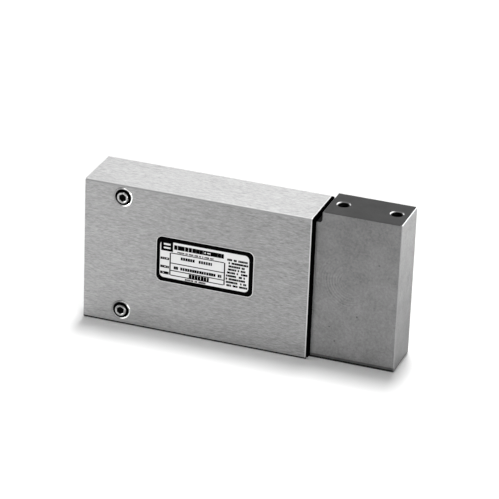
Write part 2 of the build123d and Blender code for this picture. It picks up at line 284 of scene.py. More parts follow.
# Each row of greeked print: left, right, bottom, height, share of ink, share of gaps
PRINT_ROWS = (
    (8.8, 33.3, 17.3, 2.3, 0.98, 0.0),
    (10.5, 28.5, 15.75, 0.75, 0.80, 0.15),
    (12.2, 27.6, 12.5, 1.5, 0.86, 0.12),
    (7.9, 32.4, 7.3, 1.5, 0.88, 0.16),
    (16.4, 26.3, 4.2, 1.9, 0.88, 0.04),
    (14.0, 25.5, 2.5, 0.9, 0.80, 0.10),
    (2.2, 6.5, 11.4, 1.2, 0.96, 0.0),
    (2.2, 6.5, 7.2, 1.2, 0.96, 0.0),
    (2.2, 6.5, 4.0, 1.4, 0.96, 0.0),
)
# The mark at the head of the print: left, right, bottom, top of each bar
HEAD_MARK = (
    (2.4, 8.3, 15.9, 17.1),
    (2.4, 3.7, 17.1, 19.8),
    (7.0, 8.3, 17.1, 19.8),
    (3.7, 7.0, 17.9, 18.9),
    (2.4, 8.3, 19.8, 20.8),
)
# The column of small print, with ragged ends
SMALL_ROWS = 9
SMALL_LEFT = 34.5
SMALL_RIGHT = 45.6
SMALL_TOP = 17.8
SMALL_STEP = 1.62
SMALL_HEIGHT = 1.05
SMALL_INK = 0.95
SMALL_GAPS = 0.20
SMALL_WEIGHT = 0.36
SMALL_LEFT_RAG = 1.2
SMALL_RIGHT_RAG = 2.0

# Greeked letters: pitch and stroke as shares of their row's height. A gap's width, the spread of a letter's
# width and the room that the last letter needs are shares of the pitch. A letter narrower than some strokes
# is a plain bar
LETTER_PITCH = 0.78
LETTER_WEIGHT = 0.30
LETTER_GAP = 0.8
LETTER_SPREAD = (0.9, 1.08)
LETTER_LAST = 0.5
LETTER_NARROW = 2.5
PRINT_SEED = 7

# Limits between which a noise sways a grey and between which it sets a roughness, and how far it moves the
# roughness of a plain colour
SWAY_LIMITS = (0.3, 0.7)
NOISE_LIMITS = (0.2, 0.8)
PAINT_ROUGH = 0.05

# Rubber: the grey and the roughness at the limits of its grain
RUBBER_GREY = (0.0003, 0.0010)
RUBBER_ROUGH = (0.72, 0.9)

# Turned steel: marks per millimetre, their limits, their share of the grey and their sway of the roughness
TURNING_MARKS = (2.5, 2.5, 2.5)
TURNING_LIMITS = (0.25, 0.75)
TURNING_SHADE = (0.94, 1.06)
TURNING_ROUGH = 0.06

# Gauge foil: radians per millimetre of the wave that draws its stripes, and the wave's values at their edges
STRIPE_TURN = 14.0
STRIPE_EDGE = (-0.1, 0.1)


def centre_of(node):
    """The middle of a node's box."""
    low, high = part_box(node)
    return (low + high) / 2


class Shading:
    """Short calls to add nodes to a material's or the world's node tree."""

    def __init__(self, tree):
        self.tree = tree

    def add(self, kind, **settings):
        """Add a node and set its properties."""
        node = self.tree.nodes.new(kind)
        for key, value in settings.items():
            setattr(node, key, value)
        return node

    def feed(self, socket, value):
        """Give an input a link or a plain value."""
        if isinstance(value, bpy.types.NodeSocket):
            self.tree.links.new(value, socket)
        else:
            socket.default_value = value

    def maths(self, operation, first, second=0.0):
        """A sum on one or two values."""
        node = self.add("ShaderNodeMath", operation=operation)
        self.feed(node.inputs[0], first)
        self.feed(node.inputs[1], second)
        return node.outputs[0]

    def plus(self, first, *others):
        """Values added up."""
        for other in others:
            first = self.maths("ADD", first, other)
        return first

    def times(self, first, *others):
        """Values multiplied."""
        for other in others:
            first = self.maths("MULTIPLY", first, other)
        return first

    def minus(self, first, second):
        """The first value less the second."""
        return self.maths("SUBTRACT", first, second)

    def rest(self, value):
        """What a share leaves of one."""
        return self.maths("SUBTRACT", 1.0, value)

    def larger(self, first, second):
        """The larger of two values."""
        return self.maths("MAXIMUM", first, second)

    def absolute(self, value):
        """A value without its sign."""
        return self.maths("ABSOLUTE", value)

    def length(self, first, second):
        """The length of two numbers taken as a place on a plane."""
        return self.maths("SQRT", self.plus(self.times(first, first), self.times(second, second)))

    def parts(self, vector):
        """The three numbers of a vector."""
        node = self.add("ShaderNodeSeparateXYZ")
        self.feed(node.inputs[0], vector)
        return node.outputs

    def vector(self, x, y, z):
        """A vector from three numbers."""
        node = self.add("ShaderNodeCombineXYZ")
        for socket, value in zip(node.inputs, (x, y, z)):
            self.feed(socket, value)
        return node.outputs[0]

    def ramp(self, value, low, high, from_value=0.0, to_value=1.0):
        """A value mapped from one range to another, and held at its ends."""
        node = self.add("ShaderNodeMapRange", clamp=True)
        self.feed(node.inputs["Value"], value)
        node.inputs["From Min"].default_value = low
        node.inputs["From Max"].default_value = high
        node.inputs["To Min"].default_value = from_value
        node.inputs["To Max"].default_value = to_value
        return node.outputs["Result"]

    def rising(self, value, edge, slope):
        """Zero up to an edge, and one from a slope's width past it."""
        return self.ramp(value, edge, edge + slope)

    def falling(self, value, edge, slope):
        """One up to an edge, and zero from a slope's width past it."""
        return self.ramp(value, edge, edge + slope, 1.0, 0.0)

    def full(self, turn):
        """One where a part of a direction is nearly 1."""
        return self.ramp(turn, FULL_START, FULL_END)

    def band(self, value, low, high):
        """One between two values, with short slopes outside them."""
        rise = self.rising(value, low - BAND_SLOPE, BAND_SLOPE)
        return self.times(rise, self.falling(value, high, BAND_SLOPE))

    def sway(self, noise, amount, limits=SWAY_LIMITS):
        """Noise as a number from minus an amount to that amount."""
        return self.ramp(noise, *limits, -amount, amount)

    def swap(self, factor, first, second):
        """A number between two."""
        node = self.add("ShaderNodeMix", data_type="FLOAT")
        self.feed(node.inputs["Factor"], factor)
        self.feed(node.inputs["A"], first)
        self.feed(node.inputs["B"], second)
        return node.outputs["Result"]


class Finish(Shading):
    """A material, with calls for places, textures and the shader's own inputs."""

    def __init__(self, name, metallic=0.0, roughness=0.5, specular=0.5):
        self.material = bpy.data.materials.new(name)
        self.material.use_nodes = True
        super().__init__(self.material.node_tree)
        self.shader = self.tree.nodes["Principled BSDF"]
        self.shader.inputs["Metallic"].default_value = metallic
        self.shader.inputs["Roughness"].default_value = roughness
        self.shader.inputs["Specular IOR Level"].default_value = specular

    def place(self):
        """Place on the object, in millimetres."""
        coordinate = self.add("ShaderNodeTexCoord")
        scale = self.add("ShaderNodeVectorMath", operation="SCALE")
        self.feed(scale.inputs[0], coordinate.outputs["Object"])
        scale.inputs["Scale"].default_value = 1.0 / MM
        return scale.outputs[0]

    def facing(self):
        """The surface's own direction on the object."""
        return self.parts(self.add("ShaderNodeTexCoord").outputs["Normal"])

    def stretched(self, vector, factors):
        """A vector with each number multiplied."""
        node = self.add("ShaderNodeVectorMath", operation="MULTIPLY")
        self.feed(node.inputs[0], vector)
        node.inputs[1].default_value = factors
        return node.outputs[0]

    def noise(self, vector, scale=1.0, detail=2.0, roughness=0.5, distortion=0.0):
        """Soft noise between 0 and 1."""
        node = self.add("ShaderNodeTexNoise")
        self.feed(node.inputs["Vector"], vector)
        node.inputs["Scale"].default_value = scale
        node.inputs["Detail"].default_value = detail
        node.inputs["Roughness"].default_value = roughness
        node.inputs["Distortion"].default_value = distortion
        return node.outputs["Fac"]

    def blend(self, factor, first, second):
        """A colour between two."""
        node = self.add("ShaderNodeMix", data_type="RGBA")
        self.feed(node.inputs["Factor"], factor)
        self.feed(node.inputs["A"], (*first, 1.0))
        self.feed(node.inputs["B"], (*second, 1.0))
        return node.outputs["Result"]

    def colour(self, value):
        """Set the base colour."""
        self.feed(self.shader.inputs["Base Color"], value)

    def grey(self, value):
        """Set the base colour to a grey of a brightness."""
        node = self.add("ShaderNodeCombineColor")
        for socket in node.inputs:
            self.feed(socket, value)
        self.colour(node.outputs[0])

    def rough(self, value):
        """Set the roughness."""
        self.feed(self.shader.inputs["Roughness"], value)

    def bump(self, height, depth, strength):
        """Fine relief, depth in metres."""
        node = self.add("ShaderNodeBump")
        self.feed(node.inputs["Height"], height)
        node.inputs["Distance"].default_value = depth
        node.inputs["Strength"].default_value = strength
        self.feed(self.shader.inputs["Normal"], node.outputs["Normal"])


def brushed_sheet():
    """Steel sheet, brushed along its length, with painted light and shade: a lighter top, drifts, bends of their
    own grey, a highlight strip and a dark cut at its open end, and a shadow line along its foot.
    """
    finish = Finish("brushed_sheet", metallic=1.0)
    place = finish.place()
    along, _, height = finish.parts(place)
    facing = finish.facing()
    front = finish.full(finish.absolute(facing[1]))
    level = finish.full(facing[2])
    fine = finish.noise(finish.stretched(place, BRUSH_FINE), detail=3.0, roughness=0.7, distortion=0.3)
    streaks = finish.noise(finish.stretched(place, BRUSH_STREAKS), detail=3.0, roughness=0.65, distortion=0.5)
    clouds = finish.noise(finish.stretched(place, BRUSH_CLOUDS), detail=2.0)
    # Painted light and shade: the front grows darker from the start to the end and up its height, and the top
    # grows lighter towards the end
    drift = finish.plus(
        finish.ramp(along, SHEET_START, SHEET_END, SHEET_DRIFT, -SHEET_DRIFT),
        finish.ramp(height, SHEET_FOOT, SHEET_TOP, SHEET_FADE, -SHEET_FADE),
    )
    top_drift = finish.ramp(along, SHEET_START, SHEET_END, -SHEET_TOP_DRIFT, SHEET_TOP_DRIFT)
    share = finish.plus(
        finish.sway(fine, FINE_SWAY),
        finish.sway(streaks, STREAK_SWAY, STREAK_LIMITS),
        finish.sway(clouds, CLOUD_SWAY),
        finish.times(drift, front),
        finish.times(top_drift, level),
        1.0,
    )
    # The top takes a lighter copy of the front's grey, as painted light
    shade = finish.times(share, finish.swap(level, SHEET_GREY, SHEET_TOP_GREY))
    # The bends take a grey of their own, as painted light
    bend = finish.band(finish.absolute(facing[2]), *BEND_BAND)
    shade = finish.swap(bend, shade, BEND_GREY)
    # A painted highlight strip beside the cut at the open end
    end_highlight = finish.rising(along, SHEET_END - CUT_WIDTH - END_HIGHLIGHT_WIDTH - SOFT, SOFT)
    shade = finish.swap(end_highlight, shade, SHEET_END_GREY)
    # A painted shadow line along the foot
    foot = finish.falling(height, SHEET_FOOT + FOOT_SHADOW_WIDTH, FOOT_SOFT)
    shade = finish.swap(foot, shade, SHEET_FOOT_GREY)
    # Painted shade on the cut at the open end
    cut = finish.larger(finish.full(facing[0]), finish.rising(along, SHEET_END - CUT_WIDTH, SHARP))
    finish.grey(finish.swap(cut, shade, SHEET_CUT_GREY))
    rough = finish.ramp(streaks, *NOISE_LIMITS, *SHEET_ROUGH)
    finish.rough(finish.plus(rough, finish.times(level, SHEET_TOP_ROUGH)))
    finish.bump(fine, 0.010 * MM, 0.5)
    return finish.material


def bolt_axis_distance(finish, x, y, mount):
    """Distance from the nearer axis of a pair of tapped holes."""
    aside = finish.absolute(finish.minus(x, mount["pos_m"][0] / MM))
    return finish.length(finish.minus(aside, mount["dims"]["spacing_x_mm"] / 2), y)


def milling_grain(finish, place, mottle, patches):
    """Milled texture as a share of the grey: faint broken cutter arcs over a soft mottle."""
    x, y, z = finish.parts(place)
    across = finish.minus(x, SWIRL_X)
    up = finish.minus(z, SWIRL_Z)
    radius = finish.length(across, up)
    turn = finish.maths("ARCTAN2", up, across)
    phase = finish.plus(finish.times(radius, 2 * math.pi / SWIRL_STEP), finish.times(patches, SWIRL_WAVER))
    gaps = finish.noise(finish.vector(finish.times(radius, GAP_SCALE), turn, y), detail=2.0)
    lean = finish.maths("DIVIDE", finish.plus(across, finish.times(up, SWIRL_TILT)), radius)
    rings = finish.times(
        finish.maths("SINE", phase),
        finish.ramp(radius, *SWIRL_RIM, 1.0, SWIRL_FAINT),
        finish.ramp(gaps, *GAP_EDGE, GAP_SHARE, 1.0),
        finish.ramp(radius, *SWIRL_CORE),
        finish.ramp(lean, *SWIRL_LEAN, SWIRL_FAINT, 1.0),
        SWIRL_SWAY,
    )
    return finish.plus(rings, finish.sway(mottle, MOTTLE_SWAY), finish.sway(patches, PATCH_SWAY), 1.0)


def block_faces(finish, place, facing, high):
    """The grey of the block's sides, live end, ledge and pad, with painted light and shade on each."""
    x, y, z = finish.parts(place)
    # Painted shade and light: the sides grow darker up their height and lighter beside the cover
    side = finish.times(
        finish.ramp(z, 0.0, PAD_TOP, BLOCK_GREY * (1 + BLOCK_FADE), BLOCK_GREY * (1 - BLOCK_FADE)),
        finish.ramp(x, SHEET_END, SHEET_END + LIFT_REACH, 1.0 + BLOCK_START_LIFT, 1.0),
    )
    # The end takes a lighter copy of the grey, darker towards its foot, as painted light and shade
    end = finish.ramp(z, 0.0, PAD_TOP, END_FOOT_GREY, END_TOP_GREY)
    shade = finish.swap(finish.full(facing[0]), side, end)
    # Painted shade on the ledge below the pad
    ledge = finish.times(finish.ramp(facing[2], *LEDGE_TURN), finish.rest(high))
    shade = finish.swap(ledge, shade, LEDGE_GREY)
    # The pad's top takes a darker copy of the grey as a painted dark reflection, with painted shade at its far
    # rim
    rim_start = BLOCK_SIDE - RIM_REACH - RIM_SOFT
    pad = finish.times(finish.ramp(y, rim_start, rim_start + RIM_SOFT, 1.0, PAD_RIM_SHARE), PAD_GREY)
    return finish.swap(finish.times(finish.full(facing[2]), high), shade, pad)


def hole_mouth(finish, facing, distance):
    """The grey of a pad hole's chamfer, a painted highlight brightest on its left, with painted shade on the lip
    inside.
    """
    turned = finish.minus(facing[0], finish.times(facing[1], MOUTH_LEAN))
    mouth = finish.ramp(turned, *MOUTH_TURN, MOUTH_GREY, MOUTH_LIT_GREY)
    return finish.swap(finish.rising(distance, LIP_REACH - SOFT, SOFT), BORE_GREY, mouth)


def darken_foot(finish, z, facing, shade):
    """Painted shadow at the foot of the upright faces: a dark line, with a softer painted shade over it on the
    sides.
    """
    tilt_start, tilt_end = UPRIGHT_TURN
    upright = finish.ramp(finish.absolute(facing[2]), tilt_start, tilt_end, 1.0, 0.0)
    end = finish.full(facing[0])
    over_foot = finish.minus(z, finish.swap(end, FOOT_REACH, END_FOOT_REACH))
    dim = finish.ramp(over_foot, FOOT_SHADE_REACH, FOOT_SHADE_REACH + FOOT_SHADE_SOFT, FOOT_SHADE, 1.0)
    dim = finish.swap(finish.times(upright, finish.rest(end)), 1.0, dim)
    line = finish.times(upright, finish.falling(over_foot, 0.0, FOOT_SOFT))
    return finish.swap(line, finish.times(shade, dim), FOOT_GREY)


def darken_bores(finish, place, shade):
    """Painted shade in the insides of the tapped holes."""
    x, y, z = finish.parts(place)
    for mount in BOLT_PATTERNS.values():
        inside = finish.falling(bolt_axis_distance(finish, x, y, mount), BORE_REACH, SOFT)
        depth = finish.absolute(finish.minus(z, mount["pos_m"][2] / MM))
        inside = finish.times(inside, finish.falling(depth, BORE_DEPTH, BORE_SOFT))
        shade = finish.swap(inside, shade, BORE_GREY)
    return shade


def specks(finish, x, z, mottle):
    """A few small dark specks on the block's sides, as a share of the grey."""
    cells = finish.add("ShaderNodeTexVoronoi", feature="F1", voronoi_dimensions="2D")
    finish.feed(cells.inputs["Vector"], finish.vector(x, z, 0.0))
    cells.inputs["Scale"].default_value = SPECK_SCALE
    ragged = finish.plus(cells.outputs["Distance"], finish.sway(mottle, SPECK_RAG))
    return finish.ramp(ragged, *SPECK_EDGE, SPECK_SHADE, 1.0)


def machined_aluminium():
    """Milled block: textured faces with painted light and shade, a pad painted darker as a dark reflection,
    bright cut edges as painted highlights, a foot and bores in painted shade, a few specks.
    """
    finish = Finish("machined_aluminium", metallic=1.0)
    place = finish.place()
    x, y, z = finish.parts(place)
    facing = finish.facing()
    mottle = finish.noise(place, scale=0.8, detail=4.0, roughness=0.7, distortion=0.5)
    patches = finish.noise(place, scale=0.12, detail=2.0)

    high = finish.rising(z, PAD_TOP - CUT_REACH, SOFT)
    outer = finish.rising(x, BLOCK_END - CUT_REACH, SOFT)
    corner = finish.times(finish.band(finish.absolute(facing[0]), *CHAMFER_BAND), outer)
    edge = finish.times(finish.band(finish.absolute(facing[2]), *CHAMFER_BAND), high)
    distance = bolt_axis_distance(finish, x, y, BOLT_PATTERNS["pad_holes"])
    bright = finish.times(edge, finish.larger(finish.falling(distance, MOUTH_REACH, SOFT), outer))

    grain = milling_grain(finish, place, mottle, patches)
    shade = finish.times(block_faces(finish, place, facing, high), grain)
    # Painted light and shade on the chamfers: lighter corners, darker top edges, and painted highlights on the
    # outer chamfers and the hole mouths
    shade = finish.swap(corner, shade, CORNER_GREY)
    shade = finish.swap(edge, shade, EDGE_GREY)
    cut = finish.swap(outer, hole_mouth(finish, facing, distance), CHAMFER_GREY)
    shade = finish.swap(bright, shade, cut)
    # Painted shadow at the foot
    shade = darken_foot(finish, z, facing, shade)
    # Painted shade in the bores
    shade = darken_bores(finish, place, shade)
    finish.grey(finish.times(shade, specks(finish, x, z, mottle)))

    plain = finish.ramp(mottle, *NOISE_LIMITS, *BLOCK_ROUGH)
    plain = finish.plus(plain, finish.times(finish.full(facing[2]), PAD_ROUGH))
    finish.rough(finish.swap(bright, plain, CUT_ROUGH))
    finish.bump(mottle, 0.008 * MM, 0.4)
    return finish.material


def seal_rubber():
    """Matt black rubber with a fine moulded skin."""
    finish = Finish("seal_rubber", roughness=0.8, specular=0.0)
    grain = finish.noise(finish.place(), scale=3.0, detail=4.0, roughness=0.7)
    finish.grey(finish.ramp(grain, *SWAY_LIMITS, *RUBBER_GREY))
    finish.rough(finish.ramp(grain, *SWAY_LIMITS, *RUBBER_ROUGH))
    finish.bump(grain, 0.02 * MM, 0.5)
    return finish.material


def turned_steel(name, left_grey, right_grey, roughness):
    """Bright steel with fine turning marks, with a grey on each side of the cover screws' axes: on the washers,
    painted shade on the left and painted light on the right.
    """
    finish = Finish(name, metallic=1.0, roughness=roughness)
    place = finish.place()
    marks = finish.noise(finish.stretched(place, TURNING_MARKS), detail=4.0, roughness=0.7)
    x = finish.parts(place)[0]
    grey = finish.ramp(x, SCREW_X - SCREW_SOFT, SCREW_X + SCREW_SOFT, left_grey, right_grey)
    finish.grey(finish.times(grey, finish.ramp(marks, *TURNING_LIMITS, *TURNING_SHADE)))
    finish.rough(finish.ramp(marks, *TURNING_LIMITS, roughness - TURNING_ROUGH, roughness + TURNING_ROUGH))
    finish.bump(marks, 0.004 * MM, 0.4)
    return finish.material


def soft_coat():
    """Translucent white coating over the gauges."""
    finish = Finish("silicone", roughness=0.35)
    finish.shader.inputs["Subsurface Weight"].default_value = 0.4
    finish.shader.inputs["Subsurface Scale"].default_value = 1.5 * MM
    grain = finish.noise(finish.place(), scale=0.5, detail=2.0)
    finish.colour(finish.blend(grain, (0.66, 0.66, 0.62), (0.78, 0.78, 0.74)))
    finish.bump(grain, 0.15 * MM, 0.6)
    return finish.material


def painted(name, dark, light, roughness, scale, specular=0.5):
    """A plain coloured finish with a little variation."""
    finish = Finish(name, roughness=roughness, specular=specular)
    grain = finish.noise(finish.place(), scale=scale, detail=3.0, roughness=0.6)
    finish.colour(finish.blend(grain, dark, light))
    finish.rough(finish.ramp(grain, *NOISE_LIMITS, roughness - PAINT_ROUGH, roughness + PAINT_ROUGH))
    finish.bump(grain, 0.01 * MM, 0.3)
    return finish.material


def nickel_brass():
    """Nickel plating, slightly warm."""
    finish = Finish("nickel_brass", metallic=1.0, roughness=0.25)
    marks = finish.noise(finish.place(), scale=1.6, detail=3.0)
    finish.colour(finish.blend(marks, (0.60, 0.57, 0.50), (0.70, 0.67, 0.60)))
    finish.rough(finish.ramp(marks, *NOISE_LIMITS, 0.20, 0.32))
    return finish.material


def gauge_foil():
    """Amber film with the fine folded grid of the foil on it."""
    finish = Finish("gauge_foil", roughness=0.35)
    across = finish.parts(finish.place())[1]
    stripe = finish.ramp(finish.maths("SINE", finish.times(across, STRIPE_TURN)), *STRIPE_EDGE)
    finish.colour(finish.blend(stripe, (0.55, 0.30, 0.07), (0.42, 0.36, 0.30)))
    finish.bump(stripe, 0.01 * MM, 0.5)
    return finish.material


def make_finishes():
    """Every finish by the record's slot name, and the ink and the painted shade of the sockets."""
    return {
        "machined_aluminium": machined_aluminium(),
        "brushed_sheet": brushed_sheet(),
        "seal_rubber": seal_rubber(),
        "screw_steel": turned_steel("screw_steel", 0.42, 0.42, 0.28),
        # The washers: painted shade on their left half and a painted highlight on their right half
        "washer_steel": turned_steel("washer_steel", 0.27, 0.93, 0.22),
        "plate_print": painted("plate_print", (0.72, 0.72, 0.72), (0.77, 0.77, 0.77), 0.45, 1.2),
        "gauge_foil": gauge_foil(),
        "silicone": soft_coat(),
        "lead_jacket": painted("lead_jacket", (0.50, 0.07, 0.04), (0.60, 0.10, 0.06), 0.4, 2.0),
        "board_laminate": painted("board_laminate", (0.03, 0.15, 0.06), (0.05, 0.21, 0.09), 0.35, 4.0),
        "spacer_nylon": painted("spacer_nylon", (0.74, 0.73, 0.68), (0.82, 0.81, 0.76), 0.45, 2.0),
        "resistor_body": painted("resistor_body", (0.03, 0.09, 0.24), (0.05, 0.13, 0.32), 0.25, 3.0),
        "nickel_brass": nickel_brass(),
        "ink": painted("plate_ink", (0.0004, 0.0004, 0.0004), (0.001, 0.001, 0.001), 0.60, 2.0, 0.01),
        # Painted shade inside the screws' sockets
        "dark_socket": painted("dark_socket", (0.001, 0.001, 0.001), (0.003, 0.003, 0.003), 0.80, 6.0, 0.02),
    }


def dress_nodes(finishes):
    """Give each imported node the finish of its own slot."""
    slots = {part["node"]: part["material_slot"] for part in RECORD["subparts"]}
    for name, node in NODES.items():
        node.data.materials.clear()
        node.data.materials.append(finishes[slots[name]])


def new_piece(name, mesh, finish, smooth_angle):
    """Turn a bmesh into a piece that rides on the cell. Edges sharper than an angle in degrees stay sharp."""
    data = bpy.data.meshes.new(name)
    mesh.to_mesh(data)
    mesh.free()
    for face in data.polygons:
        face.use_smooth = True
    data.set_sharp_from_angle(angle=math.radians(smooth_angle))
    piece = bpy.data.objects.new(name, data)
    bpy.context.scene.collection.objects.link(piece)
    data.materials.append(finish)
    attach(piece, "root")
    return piece


def ring_of(mesh, radius_at, height, place):
    """One ring of vertices. radius_at gives the radius at an angle."""
    ring = []
    for step in range(SIDES):
        angle = 2 * math.pi * step / SIDES
        radius = radius_at(angle)
        point = Vector((radius * math.cos(angle), radius * math.sin(angle), height))
        ring.append(mesh.verts.new(place @ point))
    return ring


def skin(mesh, first, second):
    """Faces between two closed rings of as many vertices."""
    faces = []
    for step in range(len(first)):
        after = (step + 1) % len(first)
        faces.append(mesh.faces.new((first[step], first[after], second[after], second[step])))
    return faces


def arc_points(centre, radius, start, end, steps):
    """Points on an arc in a section, angles in degrees."""
    points = []
    for step in range(steps + 1):
        angle = math.radians(start + (end - start) * step / steps)
        points.append((centre[0] + radius * math.cos(angle), centre[1] + radius * math.sin(angle)))
    return points


def round_at(radius):
    """The same radius at every angle."""
    return lambda angle: radius


def hexagon_at(width):
    """A hexagon's edge distance at an angle, for a width across its flats."""
    def radius(angle):
        sector = (angle + math.pi / 6) % (math.pi / 3) - math.pi / 6
        return width / 2 / math.cos(sector)
    return radius


def turned_rings(mesh, section, place):
    """Rings of a section of radius and height in millimetres, skinned in order."""
    rings = [ring_of(mesh, round_at(radius * MM), height * MM, place) for radius, height in section]
    for first, second in zip(rings, rings[1:]):
        skin(mesh, first, second)
    return rings


def seat_on_cover(washer_node):
    """The place of a cover screw: its axis points out of the cover, height 0 on the sheet."""
    low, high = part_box(washer_node)
    middle = centre_of(washer_node)
    side = 1 if middle.y > 0 else -1
    face = low.y if side > 0 else high.y
    out = Vector((0, side, 0))
    along = Vector((1, 0, 0))
    turn = Matrix((along, out.cross(along), out)).transposed().to_4x4()
    return Matrix.Translation((middle.x, face, middle.z)) @ turn


def turned_size(node, place):
    """A turned node's radius, and its lowest and highest height over the cover's face, in millimetres."""
    low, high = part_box(node)
    face = abs(place.translation.y)
    bottom, top = sorted((abs(low.y) - face, abs(high.y) - face))
    return (high.x - low.x) / 2 / MM, bottom / MM, top / MM


def make_cup(place, node, name, finishes):
    """A pressed cup washer: thin rounded rim, wide dished inside, flat floor."""
    mesh = bmesh.new()
    outer, foot, top = turned_size(node, place)
    ring_radius, floor, _ = turned_size(node.replace("cup_washer", "sealing_ring"), place)
    inner = ring_radius + WALL_FIT
    break_in, break_up = CUP_FOOT_BREAK
    section = [(CUP_HOLE, floor), (CUP_HOLE, foot), (outer - break_in, foot), (outer, foot + break_up)]
    rim = (outer - CUP_LEAN - CUP_ROUND, top - CUP_ROUND)
    section += arc_points(rim, CUP_ROUND, *CUP_ROUND_ARC, ARC_STEPS)
    section += [(inner, floor + CUP_LIP), (inner, floor + CUP_FLOOR_ROOT)]
    section += [(inner - CUP_FLOOR_ROOT, floor), (CUP_HOLE, floor)]
    turned_rings(mesh, section, place)
    return new_piece(name, mesh, finishes["washer_steel"], smooth_angle=40)


def make_ring(place, node, name, finishes):
    """The rubber sealing ring, slightly crowned."""
    mesh = bmesh.new()
    outer, floor, top = turned_size(node, place)
    head_radius = turned_size(node.replace("sealing_ring", "cover_screw"), place)[0]
    inner = head_radius + WALL_FIT
    section = [(outer, floor), (outer, top - RING_CROWN)]
    for step in range(RING_STEPS + 1):
        share = 1 - 2 * step / RING_STEPS
        radius = (outer + inner) / 2 + (outer - inner) / 2 * share
        section.append((radius, top - RING_CROWN * share * share))
    section += [(inner, floor), (outer, floor)]
    turned_rings(mesh, section, place)
    return new_piece(name, mesh, finishes["seal_rubber"], smooth_angle=50)


def make_screw(place, node, name, finishes):
    """A low-head screw: rounded head, dished face, hexagon socket painted dark inside as shade, plain shank."""
    mesh = bmesh.new()
    head, point, top = turned_size(node, place)
    seat = turned_size(node.replace("cover_screw", "sealing_ring"), place)[1]
    section = [(SHANK_TIP, point), (SHANK_RADIUS - SHANK_POINT, point)]
    section += [(SHANK_RADIUS, point + SHANK_POINT), (SHANK_RADIUS, seat), (head, seat)]
    section += arc_points((head - HEAD_ROUND, top - HEAD_ROUND), HEAD_ROUND, 0, 90, ARC_STEPS)
    rings = turned_rings(mesh, section, place)
    wall = hexagon_at(SOCKET_WIDTH * MM)
    rim = ring_of(mesh, round_at(DISH_RADIUS * MM), top * MM, place)
    neck = ring_of(mesh, wall, (top - DISH_DEPTH) * MM, place)
    floor = ring_of(mesh, wall, (top - SOCKET_DEPTH) * MM, place)
    skin(mesh, rings[-1], rim)
    skin(mesh, rim, neck)
    inside = skin(mesh, neck, floor)
    inside.append(mesh.faces.new(floor))
    # The socket's walls and floor take painted shade
    for face in inside:
        face.material_index = 1
    piece = new_piece(name, mesh, finishes["screw_steel"], smooth_angle=30)
    piece.data.materials.append(finishes["dark_socket"])
    return piece


# What each cover screw set is made of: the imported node's kind, the piece's name and the function that makes it
SCREW_SET = (
    ("cup_washer", "cup", make_cup),
    ("sealing_ring", "ring", make_ring),
    ("cover_screw", "screw", make_screw),
)


def make_screw_sets(finishes):
    """All four sets of cup washer, sealing ring and screw."""
    for side in ("front", "rear"):
        for level in ("upper", "lower"):
            spot = f"{side}_{level}"
            place = seat_on_cover(f"cup_washer_{spot}")
            for kind, short, make in SCREW_SET:
                node = f"{kind}_{spot}"
                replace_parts(make(place, node, f"{short}_{spot}", finishes), node)


def thread_in_hole(mesh, x, z, down):
    """A helical ridge on a hole's wall. down is the way into the hole, -1 or 1."""
    turns = (THREAD_DEPTH - THREAD_START) / THREAD_PITCH
    steps = int(turns * THREAD_STEPS)
    flank = ((0.0, -THREAD_ROOT), (THREAD_RISE, -THREAD_CREST))
    section = flank + ((THREAD_RISE, THREAD_CREST), (0.0, THREAD_ROOT))
    before = None
    for step in range(steps + 1):
        angle = 2 * math.pi * step / THREAD_STEPS
        depth = THREAD_START + THREAD_PITCH * step / THREAD_STEPS
        turns_to_end = min(step, steps - step) / THREAD_STEPS
        grown = min(1.0, turns_to_end / RUN_OUT_TURNS)
        ring = []
        for rise, along in section:
            radius = THREAD_RADIUS - rise * grown
            across = radius * math.sin(angle) * -down
            point = Vector((radius * math.cos(angle), across, down * (depth + along)))
            ring.append(mesh.verts.new(Vector((x, 0, z)) + point * MM))
        if before:
            for row in range(len(section) - 1):
                mesh.faces.new((before[row], before[row + 1], ring[row + 1], ring[row]))
        before = ring


def make_threads(finishes):
    """The threads of the four mounting holes."""
    low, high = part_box("spring_element")
    for mount in BOLT_PATTERNS.values():
        down = -1 if mount["axis"][2] > 0 else 1
        face = high.z if down < 0 else low.z
        half = mount["dims"]["spacing_x_mm"] * MM / 2
        mesh = bmesh.new()
        for side in (-1, 1):
            thread_in_hole(mesh, mount["pos_m"][0] + side * half, face, down)
        name = f"threads_{mount['name']}"
        new_piece(name, mesh, finishes["machined_aluminium"], smooth_angle=60)


def box_corners(left, right, bottom, top):
    """The corners of a rectangle, from the lower left round to the upper left."""
    return ((left, bottom), (right, bottom), (right, top), (left, top))


def rounded_outline(left, bottom, right, top, corner):
    """Points round a rectangle with round corners."""
    points = []
    corners = ((right - corner, top - corner), (left + corner, top - corner),
               (left + corner, bottom + corner), (right - corner, bottom + corner))
    for quarter, centre in enumerate(corners):
        points += arc_points(centre, corner, 90 * quarter, 90 * quarter + 90, CORNER_STEPS)
    return points


